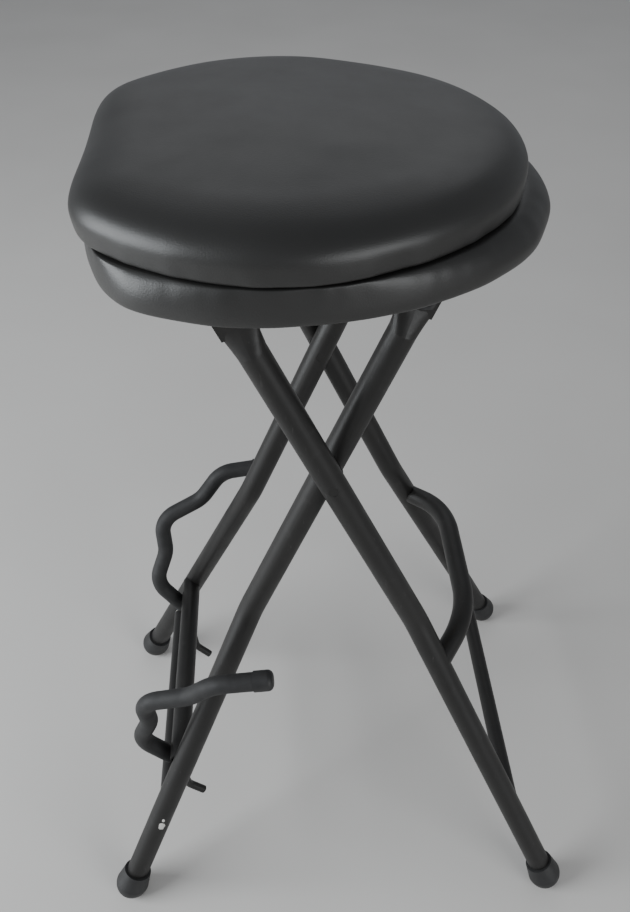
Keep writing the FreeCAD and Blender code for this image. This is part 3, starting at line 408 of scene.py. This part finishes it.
# ------------------------------------------------------------------ cushion
def cushion():
    centre = Vector((-0.010, 0.0, 0.0))
    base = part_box("seat_cushion")[0].z + 0.0002
    rings = []
    inner = outline("cushion", 0.020, N)
    # flat underside, from the middle outwards
    for f in (0.06, 0.20, 0.36, 0.52, 0.68, 0.82, 0.93):
        rings.append(with_z(shrink(inner, f, centre), base))
    # rolled side up to the rim, then the crown
    for inset, z in ((0.0200, base), (0.0110, base), (0.0044, base + 0.0001), (0.0024, base + 0.0006), (0.0014, base + 0.0023),
                     (0.0008, base + 0.0060), (0.0004, base + 0.0100), (0.0001, base + 0.0136), (0.0006, base + 0.0175),
                     (0.0024, base + 0.0215), (0.0053, base + 0.0252), (0.0094, base + 0.0286), (0.0150, base + 0.0316),
                     (0.0220, base + 0.0340), (0.0300, base + 0.0358), (0.0400, base + 0.0374)):
        rings.append(with_z(outline("cushion", inset, N), z))
    top = outline("cushion", 0.040, N)
    for f in (0.92, 0.84, 0.76, 0.68, 0.60, 0.52, 0.44, 0.36, 0.28, 0.20, 0.12, 0.06):
        z = base + 0.0374 + 0.0022 * (1 - f * f)
        rings.append(with_z(shrink(top, f, centre), z))
    o = loft("seat_cushion_cover", rings)
    o.data.materials.append(M_VINYL)
    start = np.array([v.co for v in o.data.vertices], float)
    grp = o.vertex_groups.new(name="held")
    held = [i for i, c in enumerate(start) if c[2] < base + 0.0030]
    grp.add(held, 1.0, "REPLACE")
    mod = o.modifiers.new("cloth", "CLOTH")
    st = mod.settings
    st.quality = 6
    st.mass = 0.35
    st.tension_stiffness = 60
    st.compression_stiffness = 60
    st.shear_stiffness = 30
    st.bending_stiffness = 30
    st.use_pressure = True
    st.uniform_pressure_force = 6.0
    st.vertex_group_mass = "held"
    st.effector_weights.gravity = 0.0
    mod.collision_settings.use_self_collision = False
    mod.point_cache.frame_start, mod.point_cache.frame_end = 1, 20
    for fr in range(1, 21):
        scene.frame_set(fr)
    dg = bpy.context.evaluated_depsgraph_get()
    ev = o.evaluated_get(dg).to_mesh()
    end = np.array([v.co for v in ev.vertices], float)
    o.evaluated_get(dg).to_mesh_clear()
    o.modifiers.remove(mod)
    scene.frame_set(1)
    # the cover is stretched taut: keep the broad swelling of the cloth, not its finest folds
    move = (end - start).reshape(len(rings), N, 3)
    waves = np.fft.rfft(move, axis=1)
    size = np.linalg.norm(start.reshape(len(rings), N, 3)[:, :, :2] - (-0.010, 0.0), axis=2).mean(axis=1)
    for k in range(len(rings)):
        waves[k, max(1, int(round(10 * size[k] / 0.16))) + 1:] = 0.0
    move = np.fft.irfft(waves, n=N, axis=1)
    # mostly an even swelling round each ring, and no unevenness near the middle
    flat = start.reshape(len(rings), N, 3)[:, :, :2] - (-0.010, 0.0)
    radial = np.dstack([flat / np.linalg.norm(flat, axis=2, keepdims=True), np.zeros((len(rings), N))])
    outer = np.clip((size - 0.06) / 0.06, 0.0, 1.0)
    even = radial * ((move * radial).sum(axis=2).mean(axis=1) * outer)[:, None, None]
    even[:, :, 2] += move[:, :, 2].mean(axis=1)[:, None]
    move = even + (move - even) * (0.22 * outer)[:, None, None]
    for _ in range(4):
        move[1:-1] = 0.5 * move[1:-1] + 0.25 * (move[:-2] + move[2:])
    move = move.reshape(-1, 3)
    ln = np.linalg.norm(move, axis=1, keepdims=True)
    cap = 0.0030
    move *= cap * np.tanh(ln / cap) / np.maximum(ln, 1e-9)
    # the cover may swell upwards and a little outwards, not down into the roll
    move[:, 2] = np.where(start[:, 2] < base + 0.003, 0.0, move[:, 2])
    new = start + move
    new[:, 2] = np.maximum(new[:, 2], base)
    for v, c in zip(o.data.vertices, new):
        v.co = c
    # the skirt is drawn in where it is tucked into the crease: small puckers
    for v in o.data.vertices:
        h = v.co.z - base
        if 0.0005 < h < 0.030:
            a = math.atan2(v.co.y, v.co.x + 0.01)
            w = math.exp(-((h - 0.004) / 0.007) ** 2)
            p = noise.noise(Vector((math.cos(a) * 7.0, math.sin(a) * 7.0, 0.3)))
            q = noise.noise(Vector((math.cos(a) * 19.0, math.sin(a) * 19.0, 4.1)))
            out = Vector((math.cos(a), math.sin(a), 0.0))
            v.co += out * (w * (0.0016 * p + 0.0011 * q))
        elif h >= 0.030:
            v.co.z += 0.0012 * noise.noise(Vector((v.co.x * 11.0, v.co.y * 11.0, 1.7)))
    sub = o.modifiers.new("subdivision", "SUBSURF")
    sub.levels = sub.render_levels = 1
    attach(o, "seat")
    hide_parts("seat_cushion")
    return o


# ------------------------------------------------------------------ lower roll
def roll():
    lo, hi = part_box("seat_base_pad")
    zb, zt = lo.z, hi.z
    board_lo, board_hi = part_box("seat_board")
    centre = Vector((-0.010, 0.0, 0.0))
    lip = 0.0140 - 0.0007
    rings = []
    roof = outline("band", lip, N)
    zr = board_hi.z + 0.0006
    for f in (0.06, 0.25, 0.45, 0.65, 0.82, 0.94):
        rings.append(with_z(shrink(roof, f, centre), zr))
    # inner wall of the recess, then the rolled lower edge, side and top
    prof = [(lip, zr), (lip, board_lo.z + 0.004), (lip, board_lo.z - 0.001), (lip - 0.0004, zb + 0.0068), (lip - 0.0022, zb + 0.0046),
            (0.0050, zb + 0.0040), (0.0026, zb + 0.0046), (0.0012, zb + 0.0062), (0.0004, zb + 0.0088), (0.0001, zb + 0.0116),
            (0.0000, zb + 0.0140)]
    for inset, z in prof:
        rings.append(with_z(outline("band", inset, N), z))
    # the top swells up from the ridge to the crease under the cushion
    ridge, nor = smooth_loop("band", N)
    crease = np.array([(p.x, p.y) for p in outline("cushion", 0.0018, N)])
    depth = np.maximum(((ridge - crease) * nor).sum(axis=1), 0.0013)
    for k in range(1, 10):
        a = k / 9.0 * math.pi / 2
        out = 0.80 * (1 - math.cos(a)) + 0.20 * (k / 9.0)
        up = 0.80 * math.sin(a) + 0.20 * (k / 9.0)
        ring = ridge - nor * (depth * out)[:, None]
        rings.append([Vector((p[0], p[1], zb + 0.0140 + (zt - 0.0002 - zb - 0.0140) * up)) for p in ring])
    for more in (0.005, 0.013):
        ring = ridge - nor * (depth + more)[:, None]
        rings.append([Vector((p[0], p[1], zt - 0.0002)) for p in ring])
    top = rings[-1]
    for f in (0.85, 0.65, 0.45, 0.25, 0.06):
        rings.append(with_z(shrink(top, f, centre), zt - 0.0002))
    o = loft("seat_roll_cover", rings)
    o.data.materials.append(M_VINYL)
    for v in o.data.vertices:
        h = v.co.z - zb
        r = Vector((v.co.x + 0.01, v.co.y, 0.0))
        a = math.atan2(r.y, r.x)
        if 0.003 < h < 0.0305 and r.length > 0.12:
            p = noise.noise(Vector((math.cos(a) * 6.0, math.sin(a) * 6.0, 7.3)))
            q = noise.noise(Vector((math.cos(a) * 24.0, math.sin(a) * 24.0, 2.1)))
            w = math.exp(-((h - 0.026) / 0.008) ** 2)
            v.co += r.normalized() * (0.0009 * p + w * 0.0010 * q)
    sub = o.modifiers.new("subdivision", "SUBSURF")
    sub.levels = sub.render_levels = 1
    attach(o, "seat")
    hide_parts("seat_base_pad")
    return o


cushion()
roll()


# ------------------------------------------------------------------ floor and light
floor_mesh = bpy.data.meshes.new("floor")
floor_mesh.from_pydata([(-6, -6, 0), (6, -6, 0), (6, 6, 0), (-6, 6, 0)], [], [(0, 1, 2, 3)])
floor = bpy.data.objects.new("floor", floor_mesh)
scene.collection.objects.link(floor)
fm = Mat("floor")
fm.set(Base_Color=fm.ramp(fm.noise(3.0, 2.0), [(0.3, (0.60, 0.585, 0.565)), (0.7, (0.63, 0.615, 0.595))]), Roughness=0.55)
floor_mesh.materials.append(fm.m)

world = bpy.data.worlds.new("studio")
scene.world = world
world.use_nodes = True
bg = world.node_tree.nodes["Background"]
bg.inputs["Color"].default_value = (0.86, 0.89, 0.93, 1.0)
bg.inputs["Strength"].default_value = 0.36


def area(name, loc, target, size, power, color=(1, 1, 1)):
    d = bpy.data.lights.new(name, "AREA")
    d.shape = "RECTANGLE"
    d.size, d.size_y = size
    d.energy = power
    d.color = color
    o = bpy.data.objects.new(name, d)
    scene.collection.objects.link(o)
    o.location = loc
    o.rotation_mode = "QUATERNION"
    o.rotation_quaternion = (Vector(target) - Vector(loc)).to_track_quat("-Z", "Y")
    return o


area("key", (-2.0, -0.45, 1.02), (0, 0, 0.62), (1.5, 1.4), 66.0, (0.93, 0.97, 1.0))
area("fill", (1.6, -2.0, 0.95), (0, 0, 0.50), (1.4, 1.2), 30.0, (0.97, 0.99, 1.0))
area("back", (0.2, 2.4, 2.2), (0, 0, 0.5), (2.4, 1.2), 6.0, (0.97, 0.98, 1.0))
